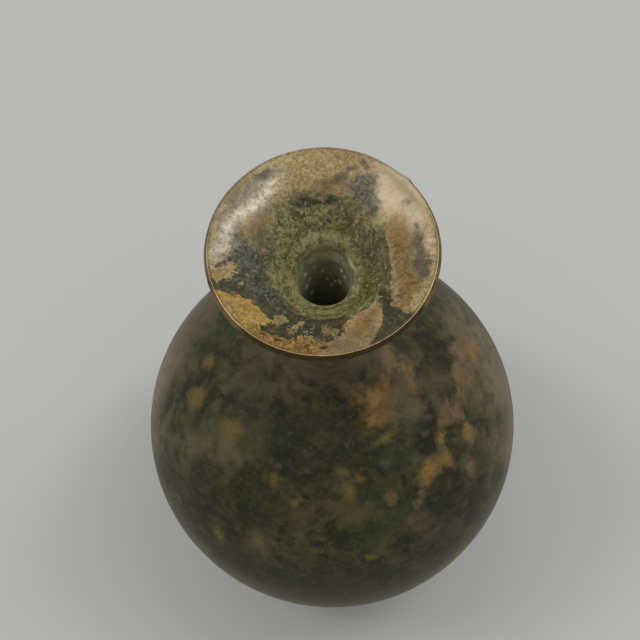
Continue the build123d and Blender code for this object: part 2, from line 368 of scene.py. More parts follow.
# How each tone lies in the dish: ovals, the two distances from their edge, outside and
# inside, between which the tone comes up, and outlines if it has any
MOUTH_TONES = {
    "gold": ([(-22, -15, 11, 5.5, -40), (-26.2, -5, 1.4, 1)], -1, 1.5),
    "amber": ([(-16, -21.8, 5, 1.6, -38), (-8, -25, 9, 2.6, -12), (-22, -20, 8, 1.2, -42)], -1, 1.2),
    "copper": ([
        (9.8, -19.2, 4.6, 2.4, 62), (20, 3, 4.6, 2.2, 76), (19.4, -7, 4.4, 1.8, 104),
        (20.8, -13.6, 3, 1.6, 60), (17.6, 8, 1.8, 1.2),
    ], -2.2, 2),
    "rust": ([
        (19.4, 1.6, 2.6, 1.1, 64), (20.4, -9.6, 2, 1, 120), (-15.7, 7.6, 2.6, 0.9, 72), (-3.4, -26, 3, 1.3),
        (3, 20.6, 4, 1), (10.6, -18.6, 4, 1, 62),
    ], -1.6, 1.6),
    "low": ([
        (7.6, -25, 6, 2.6, 14), (2, -25.8, 3, 1.6), (20.2, -7, 15, 4.8, 93), (-21.6, 19, 9, 1.3, 50),
        (-27, 9, 7, 0.9, 74), (-16, 8, 6, 3, 70),
    ], -2.4, 2.4, FLAKE_LEFT, FLAKE_STREAK, FLAKE_RIGHT),
    # Pale worn metal, lightened further as a painted highlight at the upper right and low on the left
    "pale": ([
        (19.5, 17.4, 8.5, 6, -42), (24.4, 12, 8, 4, 82), (27, 2, 4.6, 1.1, 92), (-26.6, 3.4, 4, 1.6, 72),
    ], -2.5, 3),
    "ash": ([
        (-17, 17.5, 10, 3.4, 42), (-24, 9, 8, 3, 68), (-24.6, 1.6, 3, 1.6, 30), (6, -25.4, 4.4, 1.5, 12),
    ], -2.2, 1.8),
    "sere": ([
        (-6.8, -19, 2.6, 1.6, 36), (-10.5, 22.5, 5.4, 2.2, 62), (-9, 27, 6, 1.6, 16), (15.6, 10, 2.6, 1.6),
        (23.6, -14.6, 4, 1.6, 50), (10.6, -14.6, 1.6, 0.9, 40), (25.4, -10.2, 5, 1, 68),
        (-27.2, 5, 8, 0.8, 79), (22, 16.2, 10, 0.9, -54), (17.5, -5, 6, 0.6, 92),
    ], -1.6, 1.8),
    "slate": ([(16.6, -21, 5, 2.6, 60)], -3, 2.4, LEFT_GROUND),
    "deep": ([(-22, -8.6, 3.6, 1.2, -20), (-14.4, -13.6, 3, 1.4, -50)], -1.4, 1.4, LOW_GROUND, WEDGE),
    "arc": ([], -1, 0.8, BACK_CRESCENT),
    "umber": ([
        (7, 14, 2.4, 1.6), (-14.6, 4, 3.4, 1.6, 80), (12, 3, 4, 2.2, 90), (-1, 18.6, 4, 0.8, 4),
    ], -2.2, 1.4, RIGHT_SHADE),
    "moss": ([
        (11.6, -6.4, 5.5, 3.4, 72), (7.6, -12, 3.6, 2, 40), (-8, 3, 3, 1.6, 80), (5.6, 9.4, 2.6, 1.2, -20),
        (0, -15, 5, 1),
    ], -2, 2),
    "russet": ([
        (6, 9.2, 1.6, 0.6, -20), (-8.6, -13, 1.2, 0.8, 30), (-2, -24, 3, 1, 10), (4.6, -20, 0.8, 1.6),
        (-11, -20.8, 2.4, 0.6, -20),
    ], -1.4, 1),
    # Painted highlight: pale streaks where the lamp's reflection falls on the left of the dish, which are
    # also glossier
    "gloss_and_painted_highlight": ([
        (-25.6, 2.6, 3, 1, 65), (-24, 7, 3, 1.2, 72), (-20.4, 12.4, 3.4, 1.2, 46),
        (-16, 15.4, 2.8, 1.4, 20), (-12.4, 20, 2.6, 0.9, 62),
    ], -2.6, 2),
    "film": ([
        (-23.4, 13, 2.6, 0.9, 50), (-18.6, 18.4, 2.6, 0.9, 76), (-13.4, 22.8, 2.6, 0.9, 20),
        (-22.8, 0.2, 2, 0.6, 35), (-14.2, 13.8, 2, 0.7, 40), (-21.8, 17, 2.4, 0.7, 56),
        (-21.4, 8, 1.8, 0.6, 70), (22.5, 13.2, 0.9, 0.7), (13.4, 23.8, 1.4, 0.8, -40),
    ], -1.8, 1.2),
    "shade": ([
        (24.3, 1, 3.8, 1, 92), (24.7, -5.4, 3.4, 1.6, 100), (26.4, -4.4, 2, 0.8, 90),
        (5.4, 21.8, 2.2, 0.8, 15), (9, 23.8, 1, 0.5), (12.4, 24.2, 1.5, 0.8, -50),
        (-15.6, 7.4, 2.2, 0.7, 74), (-17.4, 9.6, 1, 0.4, 60), (-14, 23, 1.5, 0.6, 30),
    ], -1.3, 0.9),
    "pits": ([
        (-1, -26.1, 1, 0.45, 5), (18.3, -12.9, 0.45, 0.35), (16.2, -14, 0.6, 0.5),
        (-24.2, -7.4, 1.8, 0.5, 10), (-5.6, -25.8, 0.5, 0.25), (-12, -23.4, 0.9, 0.35, -10),
        (-15.6, -21.6, 0.8, 0.3, -30),
    ], -0.4, 0.3),
    # Where the lip's side and the bead get a painted highlight
    "glint": ([
        (-26, -15, 10, 3.4, -60), (27, -11, 8, 2.4, 66), (0, 29, 31, 4), (-29, 4, 12, 3, 90),
        (29, 4, 12, 3, 90),
    ], -1, 2),
    # Painted highlight: light arcs round the throat's rim
    "throat_highlight": ([
        (6.9, 0.6, 5.4, 0.7, 94), (-6.8, -3.4, 2.4, 0.3, 110), (-1, -7.4, 3, 0.3, 4), (-1, 8.8, 4.4, 1.3),
        (-4.6, 7.2, 1.8, 0.9, 40), (0, 7.6, 4, 0.9),
    ], -0.8, 0.7),
    "gleam": ([(6.7, -1.9, 0.8, 0.24, 104), (6.9, 2.6, 1.2, 0.12, 116)], -0.2, 0.2),
    "lace": ([(-3, -20.8, 9, 3, -6), (0, -25.4, 7, 1.6, 4), (-25, -4.4, 4, 3)], -1.4, 1.4),
    "soft": ([
        (-1, 20, 12, 5), (11, 17, 6, 6), (-15, 9, 10, 7, 70), (-22, 4, 4, 2, 60), (14, 9, 4, 3),
        (-11.5, 16, 4, 4),
    ], -1, 2),
}

# Flecks on the bore's wall: degrees round from the right, millimetres under the rim, and two radii
BORE_FLECKS = [
    (46, 24.4, 0.45, 0.8), (34, 26.4, 0.4, 0.7), (51, 32.6, 0.6, 1.4), (72, 36.6, 0.5, 1.1),
    (137, 25.4, 0.5, 1.1), (134, 33.4, 0.6, 1.5), (124, 30.4, 0.4, 0.8), (110, 24.6, 0.3, 0.5),
    (64, 33.6, 0.4, 0.8), (122, 40, 0.5, 1.1), (92, 28, 0.3, 0.6), (82, 33, 0.3, 0.6),
]

# Wear of the rim: degrees round from the right, half its length in degrees, and its depth
BURR_AT, BURR_SPAN, BURR_REACH = 39, 4.4, 0.3
FLAT_AT, FLAT_SPAN, FLAT_DEPTH = 52, 13, 0.15
# The throat is wider by this much, and shifted: to the right, its near half, its far half.
# Both are full up to the one radius, and nothing from the other on.
THROAT_WIDER = 0.35
THROAT_SHIFT = (0.34, -2.05, 0.4)
THROAT_FULL, THROAT_REACH = 7.5, 20
# Lumps of the rim and of the skin: how deep they go, how wide they are, and each size's seed
RIM_LUMPS = ((0.04, 6, 3), (0.03, 1.6, 5))
SKIN_LUMPS = ((0.05, 5, 7), (0.03, 1.4, 9))
# The pattern is drawn about a point this far from the axis, to the left and to the front
PATTERN_CENTRE = (-0.06, -0.53)
# A point this little below the dish's curve still lies on the dish
SKIN_SLACK = 0.6
# Outside the metal and the stain their distance goes no lower than the first, and off the
# dish it is lowered by the second as well
FAR_OUT, OFF_DISH = -8, -30


def weight(places, ovals, low, high, *outlines):
    """An eased weight, from 0 at a distance low from the edge of the ovals and outlines to 1 at high."""
    return ease(union(places, outlines, ovals), low, high)


def from_axis(places):
    """How far each point lies from the axis."""
    return np.hypot(places[:, 0], places[:, 1])


def mouth_tones(places):
    """What the mouth's finish reads: distances in from the patches' edges, and the weights of the tones."""
    plan, height, radius = places[:, :2] - PATTERN_CENTRE, places[:, 2], from_axis(places)
    upper = (radius < BEAD_CREST + 0.1) & (height > dish_height(radius) - SKIN_SLACK)
    off = np.where(upper, 0, OFF_DISH)
    front = ease(-places[:, 1] / np.maximum(radius, 1), -0.3, 0.5)
    fields = [NEAR_BAND, FLAKE_LEFT, FLAKE_STREAK, FLAKE_RIGHT, RIGHT_FIELD, LEFT_FIELD, LEFT_SCALE]
    tones = {name: weight(plan, *rows) for name, rows in MOUTH_TONES.items()}
    tones["tan"] = np.maximum(union(plan, fields, SCALE_CRUMBS), FAR_OUT) + off
    tones["stain"] = np.maximum(within(plan, BACK_STAIN), FAR_OUT) + off
    tones["throat"] = ease(BORE_RADIUS + 1.8 - radius, -1.4, 0.8)
    tones["bore"] = ease(RIM - 14 - height, 0, 4) * (radius < 11)
    # The bead's crest carries a painted highlight, strongest at the front
    tones["bead"] = ease(radius, BEAD_CREST - 0.18, BEAD_CREST - 0.06) * upper * (0.1 + 0.85 * front)
    # Painted shade in the groove, towards the front only
    in_groove = ease(radius, DISH_RADIUS - 0.1, DISH_RADIUS) * ease(BEAD_INNER + 0.05 - radius, 0, 0.1)
    tones["groove"] = in_groove * upper * (0.4 * front)
    tones["gleam"] = np.maximum(tones["gleam"] * (height > RIM - 17), bore_flecks(places))
    tones["under"] = np.where(upper | (radius < 8.5), 0.0, 1.0)
    return tones


def bore_flecks(places):
    """The weight of the flecks on the bore's wall, laid out by arc length and depth."""
    around = np.arctan2(places[:, 1], places[:, 0]) * BORE_RADIUS
    flecks = [(BORE_RADIUS * math.radians(turn), down, *radii) for turn, down, *radii in BORE_FLECKS]
    chart = np.stack([around, RIM - places[:, 2]], axis=1)
    return weight(chart, flecks, -0.35, 0.3) * (from_axis(places) < BORE_RADIUS + 1)


def dish_height(radius):
    """Height of the dish at a radius, from the two arcs of its bell."""
    return np.interp(radius, DISH_BELL[:, 0], DISH_BELL[:, 1])


def hump(angle, at, span):
    """1 at an angle, and falling as a parabola to 0 at a span to either side."""
    return np.clip(1 - ((angle - at) / span) ** 2, 0, 1)


def mouth_move(places):
    """The mouth as it is worn: a burr and a flat on the rim, a throat off its round, an uneven skin.

    Rings near the throat widen and shift, the near half forwards and the far half back,
    eased out to the lip and down the bore. The groove is filled along its far half. The
    rest is a small push in along the radius and the height, by lumps of two sizes.
    """
    moved, height, radius = places.copy(), places[:, 2], from_axis(places)
    side = places[:, :2] / np.maximum(radius, 1)[:, None]
    # throat
    top_side = (height >= dish_height(radius) - SKIN_SLACK) | (radius < BORE_RADIUS + 0.5)
    near = ease(THROAT_REACH - radius, 0, THROAT_REACH - THROAT_FULL) * top_side
    near = near * ease(height, SPIGOT_TOP + 0.3, SPIGOT_TOP + 5)
    right, forwards, back = THROAT_SHIFT
    along = forwards + (back - forwards) * ease(side[:, 1], -0.6, 0.7)
    moved[:, :2] += near[:, None] * (side * THROAT_WIDER + np.stack([0 * along + right, along], axis=1))
    # groove
    in_groove = (radius > DISH_RADIUS - 0.05) & (radius < BEAD_INNER + 0.05)
    in_groove &= (height < BEAD_FOOT) & (height > RIM - 1)
    filled = np.interp(radius, [DISH_RADIUS, BEAD_INNER], [DISH_EDGE[1], BEAD_FOOT])
    moved[:, 2] += (filled - height) * in_groove * ease(side[:, 1], -0.2, 0.5) * 0.9
    # rim
    angle = np.degrees(np.arctan2(places[:, 1], places[:, 0]))
    lip = ease(radius, MOUTH_RADIUS - 2.5, MOUTH_RADIUS - 1) * (height > RIM - 3)
    burr = BURR_REACH * hump(angle, BURR_AT, BURR_SPAN) ** 2
    shrink = lip * (FLAT_DEPTH * hump(angle, FLAT_AT, FLAT_SPAN) + lumps(places, RIM_LUMPS) - burr)
    moved[:, :2] *= (1 - shrink / np.maximum(radius, 1))[:, None]
    # skin of the dish and the underside
    face = ease(MOUTH_RADIUS - 1.3 - radius, 0, 1) * ease(radius, BORE_RADIUS, BORE_RADIUS + 3)
    push = np.where(top_side, -1.0, 0.8) * lumps(places, SKIN_LUMPS)
    moved[:, 2] += push * face * (height > RIM - 19)
    return moved


# The body's pattern: degrees round from the front, to the right, and down
# from the top. An oval's radii are in millimetres.
SHOULDER_STREAK = [
    (33, 46), (35, 44.5), (37, 42.4), (39, 40.8), (43, 39.8), (46, 40.6), (49, 41.4), (51, 43), (52, 41.4),
    (53, 39.4), (55, 38), (58, 37.4), (60, 36), (64, 35), (68, 34.8), (72, 36), (74, 38.4), (78, 39.4),
    (84, 38), (92, 37.4), (100, 38), (106, 44), (105, 52), (101, 52), (98, 49), (92, 46.6), (86, 44.6),
    (80, 42), (75, 41), (71, 41), (70, 43.4), (67, 43), (66.4, 41), (64, 39.6), (61, 38.6), (58, 39.6),
    (55, 40.6), (53.6, 42), (53, 45), (52, 47.6), (50.6, 48.6), (50, 46), (48, 44.6), (44, 44.4), (41, 45),
    (37, 45.6), (34, 47.6),
]
STREAK_DROPS = [
    (65.4, 47.4, 2.6, 3.4, 20), (55.6, 54, 1.9, 3.6, 20), (32, 48.6, 1.4, 1.6), (23, 43, 1.5, 1.5),
]
SHOULDER_PATCH = [
    (28, 12.8), (34, 13.2), (42, 13.6), (50, 13.8), (58, 14.4), (68, 15), (80, 15), (92, 14), (104, 14),
    (104, 17), (94, 17.4), (87, 18), (91, 20), (88, 22), (84, 23.6), (77, 24.6), (72, 25.6), (70, 25),
    (73, 23.4), (78, 21.6), (82, 20.4), (80, 19), (70, 18.6), (60, 18.6), (54, 18.6), (52, 20), (48, 21.6),
    (43, 23), (37, 23.6), (31, 23), (27.6, 21), (30, 18.4), (29, 16),
]
BACK_STREAK = [
    (150, 30), (162, 27), (174, 31), (186, 30), (196, 35), (205, 46), (214, 58), (210, 61), (200, 50),
    (192, 41), (182, 36), (172, 38), (168, 47), (163, 52), (160, 44), (158, 36),
]
BACK_PATCH = [(202, 20), (216, 17), (230, 20), (236, 27), (226, 31), (220, 28), (213, 33), (205, 29)]
LOW_STREAK = [(118, 74), (128, 70), (140, 74), (150, 83), (146, 88), (136, 81), (128, 79), (122, 82)]
BODY_SPOTS = [
    (-61, 34, 4.4, 3.4, -30), (-84, 42, 4.4, 4), (-30, 36.6, 1.9, 1.5), (-17, 41, 1.4, 1.1),
    (6, 37, 1.8, 2.2), (-99, 37, 2.6, 2.6), (4, 31, 1.8, 1.2), (34, 26.6, 3.2, 1.2, 30), (-27, 58, 2, 1.8),
    (-41, 65, 2.6, 3), (12, 34, 1, 0.8), (140, 55, 3, 2), (178, 62, 2.5, 2), (225, 46, 3.4, 2.2, 30),
    (248, 58, 2.4, 1.6), (110, 62, 2, 1.5), (130, 38, 2.6, 1.4), (205, 22, 3, 1.6), (10, 60, 1, 0.9),
    (-8, 56, 0.9, 0.8),
]

# How each tone lies on the body, as in the mouth
BODY_TONES = {
    # Painted reflection: lighter haze near the body's left and right edges
    "edge_reflection": ([(92, 64, 10, 20, 30), (76, 74, 10, 10, 40), (-98, 66, 9, 16, -30)], -9, 7),
    "brown": ([
        (0, 0, 12.6, 12.6), (-92, 17, 10, 5), (-46, 12, 7, 3), (72, 26, 8, 4), (-62, 15, 8, 3.6),
        (-69, 30, 3, 2.4), (-98, 47, 8, 6), (-28, 60, 7, 6), (78, 30, 10, 6), (30, 55, 6, 6), (8, 43, 8, 4),
        (-14, 44, 9, 3, 20), (92, 19, 6, 3), (180, 30, 30, 14), (240, 52, 14, 12), (140, 72, 14, 9),
    ], -5, 5),
    # Dark patina patches, and darker low on the front as painted shade
    "dark_and_shade": ([
        (-12, 24, 16, 12), (42, 54, 8.5, 8, 20), (-32, 47, 13, 7), (0, 78, 46, 16), (-56, 50, 8, 8),
        (34, 72, 14, 8), (-34, 72, 14, 8), (-34, 24, 8, 6), (24, 27, 7, 4, 60), (-52, 56, 9, 9),
        (200, 52, 20, 10),
    ], -5, 5),
    "green": ([
        (15, 45, 14, 13), (-41, 64, 5, 5), (-48, 41, 3.4, 3), (-74, 22, 5, 1.6), (-52, 22.4, 5, 1.6, 30),
        (-70, 36, 12, 7), (-46, 30, 9, 6), (30, 32, 10, 5), (62, 58, 6, 5), (160, 66, 12, 8),
        (235, 30, 14, 8),
    ], -4, 4),
    # Warm patina, and near the left and right edges a painted reflection
    "warm_and_edge_reflection": ([
        (57, 25, 6, 3), (88, 52, 14, 13), (68, 60, 10, 8), (-104, 62, 16, 12), (-82, 66, 10, 6),
        (110, 50, 12, 12), (205, 62, 30, 14), (300, 40, 16, 10),
    ], -7, 7),
    "pale": ([
        (26.6, 52, 1.6, 2), (79, 46.4, 2.2, 1.8), (-82, 31, 2.2, 1.8), (-76, 34.6, 2, 1.5),
        (-70, 39, 1.8, 1.6), (-65, 48, 2.2, 1.8), (-74, 55, 3.4, 2.8), (-25, 62, 1.8, 2.6),
        (40, 37, 2.4, 1.3, 30), (52, 34, 2.4, 1.2, 30), (59, 32, 2.2, 1.5), (45, 25, 2.4, 0.9, 30),
        (-30, 32.6, 1.5, 1.3), (-54, 41, 1.8, 1.6), (-44, 34.6, 2, 1), (27, 33, 2, 1.2),
        (-90, 31, 1.8, 1.4), (150, 45, 2.6, 2), (216, 34, 2.4, 1.8), (265, 62, 3, 2), (190, 75, 3, 2),
    ], -1.4, 1.2),
    "rust": ([(175, 32, 12, 5)], -3, 3),
    "dusk": ([(86, 20, 14, 7), (94, 46, 18, 14)], -3, 3),
    "bright": ([
        (41.5, 42, 3.4, 5, 40), (50, 44.4, 2.4, 3), (66, 46.6, 3, 3), (56, 39, 2, 1.6), (44, 16.6, 3, 3),
        (36, 21, 2.6, 1.6, 30), (84, 21, 3, 1.6), (99, 50, 5, 4), (163, 29, 6, 3), (204, 46, 6, 3, 40),
    ], -1.6, 1.6),
}

# Lumps of the body's skin, as in the mouth
BODY_LUMPS = ((0.045, 17, 21), (0.03, 6, 22), (0.015, 2, 23))


def unrolled(degrees):
    """Degrees round and down, as a flat map of the body from above, in millimetres.

    Each point lies at its arc length from the top, in its own direction.
    """
    degrees = np.array(degrees, float)
    turn, reach = np.radians(degrees[..., 0]), BODY_RADIUS * np.radians(degrees[..., 1])
    return np.stack([reach * np.sin(turn), -reach * np.cos(turn)], axis=-1)


def body_map(places):
    """The same flat map for places on the body, by their direction from its centre."""
    flat = from_axis(places)
    reach = BODY_RADIUS * np.arctan2(flat, places[:, 2] - MIDDLE)
    return places[:, :2] / np.maximum(flat, 1e-6)[:, None] * reach[:, None]


def body_spots(rows):
    """Spots given in degrees round and down, placed on the flat map."""
    return [(*unrolled([turn, down]), *radii) for turn, down, *radii in rows]


def body_tones(places):
    """What the body's finish reads: distances in from streaks and spots, and the weights of the tones."""
    chart = body_map(places)
    streaks = [unrolled(corners) for corners in (SHOULDER_STREAK, BACK_STREAK, LOW_STREAK)]
    patches = [unrolled(corners) for corners in (SHOULDER_PATCH, BACK_PATCH)]
    tones = {name: weight(chart, body_spots(rows), *ends) for name, (rows, *ends) in BODY_TONES.items()}
    tones["streak"] = union(chart, streaks, body_spots(STREAK_DROPS))
    tones["patch"] = union(chart, patches)
    tones["spots"] = union(chart, spots=body_spots(BODY_SPOTS))
    return tones


def body_move(places):
    """The skin of the cast body: pressed in towards the centre, at most a fifth of a millimetre.

    The push is a sum of lumps of three sizes, and fades out at the neck and the foot.
    """
    out = places - np.array([0, 0, MIDDLE])
    reach = np.linalg.norm(out, axis=1)
    outer = ease(reach, BODY_RADIUS - 0.2, BODY_RADIUS - 0.05) * ease(places[:, 2], FOOT_TOP, FOOT_TOP + 3)
    outer *= ease(NECK_ROOT - places[:, 2], 0, 12)
    return places - out / reach[:, None] * (lumps(places, BODY_LUMPS) * outer)[:, None]


# finishes


class Value:
    """One output socket. Sums, differences and products of values add Math nodes."""

    def __init__(self, nodes, socket):
        self.nodes, self.socket = nodes, socket

    def math(self, operation, *others):
        return self.nodes.node("Math", {"operation": operation}, dict(enumerate((self, *others))))

    def __add__(self, other):
        return self.math("ADD", other)

    def __sub__(self, other):
        return self.math("SUBTRACT", other)

    def __mul__(self, other):
        return self.math("MULTIPLY", other)

    def __rsub__(self, other):
        return self.nodes.node("Math", {"operation": "SUBTRACT"}, {0: other, 1: self})

    __radd__ = __add__
    __rmul__ = __mul__

    def most(self, other):
        return self.math("MAXIMUM", other)

    def rise(self, low, high, bottom=0.0, top=1.0):
        """Eases from bottom to top as the value goes from low to high."""
        ends = {0: self, 1: low, 2: high, 3: bottom, 4: top}
        return self.nodes.node("MapRange", {"interpolation_type": "SMOOTHSTEP"}, ends)


class Nodes:
    """The node tree of a material or of the world, as it is built up."""

    def __init__(self, owner):
        owner.use_nodes = True
        self.tree = owner.node_tree
        self.tree.nodes.clear()

    def node(self, kind, settings=None, inputs=None, output=0):
        """Adds a node: its settings first, then the values or links of its sockets."""
        made = self.tree.nodes.new("ShaderNode" + kind)
        for setting, value in (settings or {}).items():
            setattr(made, setting, value)
        for socket, value in (inputs or {}).items():
            if isinstance(value, Value):
                self.tree.links.new(value.socket, made.inputs[socket])
            else:
                made.inputs[socket].default_value = value
        return Value(self, made.outputs[output]) if made.outputs else made


class Finish(Nodes):
    """A material as it is built up. Sizes are in millimetres on the piece."""

    def __init__(self, name):
        self.material = bpy.data.materials.new(name)
        super().__init__(self.material)
        self.place = self.node("TexCoord", output="Object")

    def tone(self, name):
        """A value that the mesh carries."""
        return self.node("Attribute", {"attribute_name": name}, output="Fac")

    def grain(self, size, detail=4.0, rough=0.55, warp=0.0):
        """Noise from 0 to 1 whose lumps are about size across."""
        inputs = {"Vector": self.place, "Scale": 1 / (size * MM), "Detail": detail}
        return self.node("TexNoise", inputs=inputs | {"Roughness": rough, "Distortion": warp})

    def cells(self, size):
        """Distance to the nearest of many scattered points, in cell widths."""
        return self.node("TexVoronoi", inputs={"Vector": self.place, "Scale": 1 / (size * MM)})

    def blend(self, mask, below, above):
        """A colour that goes from below to above as the mask goes from 0 to 1."""
        return self.node("Mix", {"data_type": "RGBA"}, {0: mask, 6: below, 7: above}, output=2)

    def layers(self, colour, *rows):
        """Lays the colour of each row over what is there, by the row's mask."""
        for mask, above in rows:
            colour = self.blend(mask, colour, above)
        return colour

    def scaled(self, colour, factor):
        """A colour made lighter or darker by a factor."""
        return self.node("VectorMath", {"operation": "SCALE"}, {0: colour, "Scale": factor})

    def surface(self, colour, roughness, metallic, height, depth, specular=0.5, dust=0.0):
        """Puts the finish on: the shader, a bump of a depth in millimetres, and a bloom of dust."""
        bump = {"Strength": 1.0, "Distance": depth * MM, "Height": height}
        normal = self.node("Bump", inputs=bump, output="Normal")
        inputs = {"Base Color": colour, "Roughness": roughness, "Metallic": metallic, "Normal": normal}
        inputs |= {"Specular IOR Level": specular}
        inputs |= {"Sheen Weight": dust, "Sheen Roughness": 0.3, "Sheen Tint": DUST}
        shader = self.node("BsdfPrincipled", inputs=inputs)
        self.node("OutputMaterial", inputs={"Surface": shader})
        return self.material


# Bronze and its patina, as a founder would name the tones, and the painted highlights and shade
TAN = srgb(155, 132, 90)
GOLD = srgb(160, 128, 66)
AMBER = srgb(174, 132, 56)
AMBER_DEEP = srgb(94, 66, 24)
COPPER = srgb(130, 94, 46)
RUST = srgb(118, 86, 42)
PALE_AND_HIGHLIGHT = srgb(185, 166, 137)
ASH = srgb(166, 153, 132)
ASH_BROWN = srgb(128, 114, 90)
HIGHLIGHT_LILAC = srgb(190, 180, 164)
LOW_TAN = srgb(116, 98, 58)
SERE = srgb(160, 144, 98)
SPECK_BROWN = srgb(68, 54, 22)
FILM = srgb(104, 92, 76)
SHADE = srgb(78, 70, 56)
BEAD_CREST_HIGHLIGHT = srgb(180, 152, 106)
BEAD_CREST_GLINT = srgb(226, 202, 152)
GROOVE_SHADE = srgb(104, 86, 46)
LIP_BROWN_AND_SHADE = srgb(76, 58, 26)
LIP_HIGHLIGHT = srgb(136, 112, 68)
OLIVE = srgb(138, 131, 84)
OLIVE_DEEP = srgb(76, 71, 36)
UMBER = srgb(100, 91, 62)
UMBER_DEEP = srgb(62, 55, 32)
MOSS = srgb(112, 106, 50)
MOSS_DEEP = srgb(62, 58, 20)
SLATE = srgb(90, 89, 72)
SLATE_DEEP = srgb(36, 38, 25)
GREEN_BLACK = srgb(36, 38, 16)
GREEN_DUSK = srgb(78, 68, 35)
THROAT_PALE = srgb(150, 143, 96)
THROAT_HIGHLIGHT = srgb(160, 152, 108)
FLECK = srgb(186, 182, 148)
STAIN = srgb(62, 55, 38)
STAIN_LIGHT = srgb(122, 113, 95)
# The bore's pale patina, lightened to stand in for the light that reaches into the hole
BORE_AND_PAINTED_LIGHT = srgb(170, 170, 138)
BORE_DEEP_AND_PAINTED_LIGHT = srgb(114, 116, 90)
GLEAM = srgb(250, 248, 232)
BODY_BLACK = srgb(34, 34, 17)
BODY_GREEN = srgb(54, 54, 26)
BODY_OLIVE = srgb(82, 75, 34)
BODY_BROWN = srgb(88, 72, 52)
BODY_WARM_AND_REFLECTION = srgb(112, 98, 72)
BODY_EDGE_REFLECTION = srgb(120, 106, 84)
DUST = srgb(210, 196, 176)
BODY_GREY = srgb(84, 81, 62)
BODY_MOSS = srgb(53, 57, 26)
BODY_SAND = srgb(110, 89, 62)
BODY_TAN = srgb(132, 102, 50)
BODY_RUST = srgb(112, 80, 38)
BODY_YELLOW = srgb(104, 88, 42)
NECK_BROWN = srgb(80, 60, 34)
SOLDER_GREY = srgb(150, 150, 146)
SOLDER_OXIDE = srgb(112, 110, 104)


